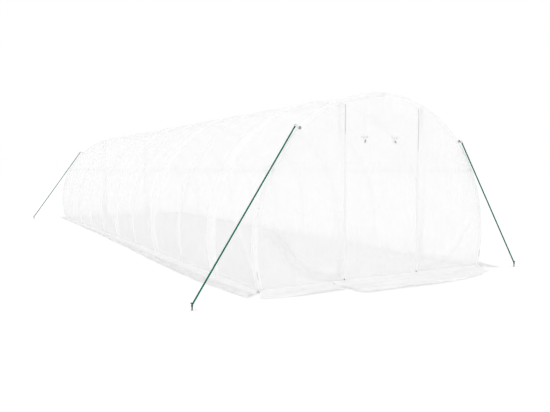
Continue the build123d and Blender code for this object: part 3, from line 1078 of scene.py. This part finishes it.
straps, rings, pegs = Build(), Build(), Build()
for name, (end, (button, ring), (peg_x, peg_y)) in ROPES.items():
    outward = Vector((0, end, 0))
    button = Vector((button[0], end * LENGTH / 2, button[1]))
    ring = Vector((ring[0], end * LENGTH / 2, ring[1]))
    tangent = (ring - button).normalized()
    normal = tangent.cross(outward).normalized()

    # Webbing tab sewn across the hoop, with an eyelet on its inner end and a ring in its outer one
    strap = (button + ring) / 2 + outward * 0.0024
    straps.block(strap, (ring - button) / 2, normal * TAB_WIDTH / 2, outward * 0.0012, 0.0005)
    loop = ring + outward * 0.008
    turns = np.linspace(-pi / 2, pi / 2, 7)
    fold = [loop - tangent * (0.010 - 0.009 * cos(t)) + outward * 0.0055 * sin(t) for t in turns]
    for share in np.linspace(-0.42, 0.42, 7):
        straps.tube([place + normal * TAB_WIDTH * share for place in fold], 0.0020, 8)
    rings.ring(loop, outward, RING_RADIUS, 0.005)
    rings.ring(button + outward * 0.005, outward, EYELET_RADIUS, 0.006)
    rings.dome(button + outward * 0.003, outward, 0.009, 0.003)

    # Knot at the ring, the straight rope, and a hitch round the peg
    foot = Vector((peg_x, peg_y, ROPE_HEIGHT))
    down = (foot - loop).normalized()
    knot = loop + down * RING_RADIUS
    rope = Build()
    for travel in (0.006, 0.014):
        rope.ring(knot + down * travel, down + Vector((0.25, 0, 0.1)), 0.0055, 0.007, 20)
    laid_rope(rope, [knot, foot - down * 0.006])
    for number in range(3):
        rope.ring((peg_x, peg_y, 0.036 + 0.0065 * number), (0.05, 0.08, 1), 0.0070, 0.005, 20)
    piece = rope.finish(f"guy_line_{name}", rope_fibre, "guy_rope")
    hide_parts(f"guy_rope_{name}")

    # Peg: a bent rod whose hook points away from the tunnel
    away = 1 if peg_x > 0 else -1
    turns = np.linspace(0, pi / 2, 6)
    bend = [Vector((away * 0.009 * (1 - cos(t)), 0, 0.009 * sin(t))) for t in turns]
    crook = Vector((peg_x, peg_y, PEG_HEIGHT - 0.015))
    path = [Vector((peg_x, peg_y, 0)), *[crook + step for step in bend]]
    path.append(path[-1] + Vector((away * 0.004, 0, -0.001)))
    pegs.tube(path, 0.0055, 12)
piece = straps.finish("rope_tab_straps", strap_cloth, "webbing")
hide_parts("rope_tabs")
rings.finish("rope_tab_rings", bolt_zinc, "webbing")
piece = pegs.finish("peg_rods", peg_steel, "peg_steel")
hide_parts("ground_pegs")

# Spring clips that hold the binding to the end hoops near their feet, and its screws

CLIP_ENDS = (radians(98.5), radians(101.8))
SCREW_ANGLES = {-1: [76], 1: [76, 100]}
clips = Build()
for end in (-1, 1):
    for side in (-1, 1):
        turns = side * np.linspace(*CLIP_ENDS, 8)
        path = [arch_point(turn, HOOP_RADIUS - 0.004, end * (END_HOOP + 0.0185)) for turn in turns]
        clips.tube(path, [0.0015, *[0.0035] * 6, 0.0015], 10)
        for screw in SCREW_ANGLES[side]:
            centre = arch_point(side * radians(screw), HOOP_RADIUS, end * (END_HOOP + 0.0150))
            clips.dome(centre, (0, end, 0), 0.005, 0.0025)
clips.finish("hoop_film_clips", pale_plastic, "webbing")

# Stage, light and camera

FLOOR_REACH = 120.0


def seen_from_outside(tree):
    """1 for rays that show the floor to the eye, straight or by a reflection, and 0 for light.
    It is 0 too for the eye's rays through exactly one film, which see the ground inside and so
    get the darker floor colour: painted shade of the tunnel's inside."""
    path = add_node(tree, "ShaderNodeLightPath")
    inside = add_node(
        tree,
        "ShaderNodeMath",
        {0: path.outputs["Transparent Depth"], 1: 1.0, 2: 0.5},
        operation="COMPARE",
    )
    seen = add_node(
        tree,
        "ShaderNodeMath",
        {0: path.outputs["Is Camera Ray"], 1: inside.outputs["Value"]},
        operation="SUBTRACT",
        use_clamp=True,
    )
    for kind in ("Is Glossy Ray", "Is Transmission Ray"):
        seen = add_node(
            tree,
            "ShaderNodeMath",
            {0: seen.outputs["Value"], 1: path.outputs[kind]},
            operation="MAXIMUM",
        )
    return seen.outputs["Value"]


def stage():
    """Pale floor, with painted shade where the ground inside is seen through one film, white
    surroundings and a broad soft light from the front left.
    """
    material, tree = new_material("pale_floor")
    # The darker colour is the floor's own for light, and for the eye through one film it is painted
    # shade inside the tunnel
    tone = add_node(
        tree,
        "ShaderNodeMix",
        {"Factor": seen_from_outside(tree), 6: rgb("#e9e9e9"), 7: rgb("#fbfbfb")},
        data_type="RGBA",
    )
    surface = add_node(tree, "ShaderNodeBsdfDiffuse", {"Color": tone.outputs[2]})
    add_node(tree, "ShaderNodeOutputMaterial", {"Surface": surface.outputs["BSDF"]})
    mesh = bpy.data.meshes.new("floor")
    turns = ((-1, -1), (1, -1), (1, 1), (-1, 1))
    corners = [(FLOOR_REACH * x, FLOOR_REACH * y, 0) for x, y in turns]
    mesh.from_pydata(corners, [], [(0, 1, 2, 3)])
    mesh.materials.append(material)
    floor = bpy.data.objects.new("floor", mesh)
    bpy.context.scene.collection.objects.link(floor)

    world = bpy.data.worlds.new("studio")
    bpy.context.scene.world = world
    world.use_nodes = True
    tree = world.node_tree
    tree.nodes.clear()
    white = add_node(tree, "ShaderNodeBackground", {"Color": (1, 1, 1, 1), "Strength": 1.0})
    add_node(tree, "ShaderNodeOutputWorld", {"Surface": white.outputs["Background"]})

    lamp = bpy.data.lights.new("softbox_sun", "SUN")
    lamp.energy = 0.57
    lamp.angle = radians(40)
    sun = bpy.data.objects.new("softbox_sun", lamp)
    sun.rotation_euler = Vector((0.50, 0.62, -0.45)).to_track_quat("-Z", "Y").to_euler()
    bpy.context.scene.collection.objects.link(sun)


stage()

CAMERA_PLACE = (-4.096, -9.828, 1.179)
CAMERA_YAW = radians(29.83)
CAMERA_PITCH = radians(3.61)
IMAGE_WIDTH = 550
FOCAL_PIXELS = 581.6
SENSOR_WIDTH = 36
camera_data = bpy.data.cameras.new("camera")
camera_data.sensor_width = SENSOR_WIDTH
camera_data.lens = SENSOR_WIDTH * FOCAL_PIXELS / IMAGE_WIDTH
camera_data.clip_end = 500
camera = bpy.data.objects.new("camera", camera_data)
camera.location = CAMERA_PLACE
level = cos(CAMERA_PITCH)
aim = Vector((sin(CAMERA_YAW) * level, cos(CAMERA_YAW) * level, -sin(CAMERA_PITCH)))
camera.rotation_euler = aim.to_track_quat("-Z", "Y").to_euler()
bpy.context.scene.collection.objects.link(camera)
bpy.context.scene.camera = camera
bpy.context.scene.view_settings.view_transform = "Standard"

# Light passes through many layers of pale film, so it may bounce more often than usual
bpy.context.scene.cycles.max_bounces = 24
bpy.context.scene.cycles.diffuse_bounces = 16
bpy.context.scene.cycles.transparent_max_bounces = 24
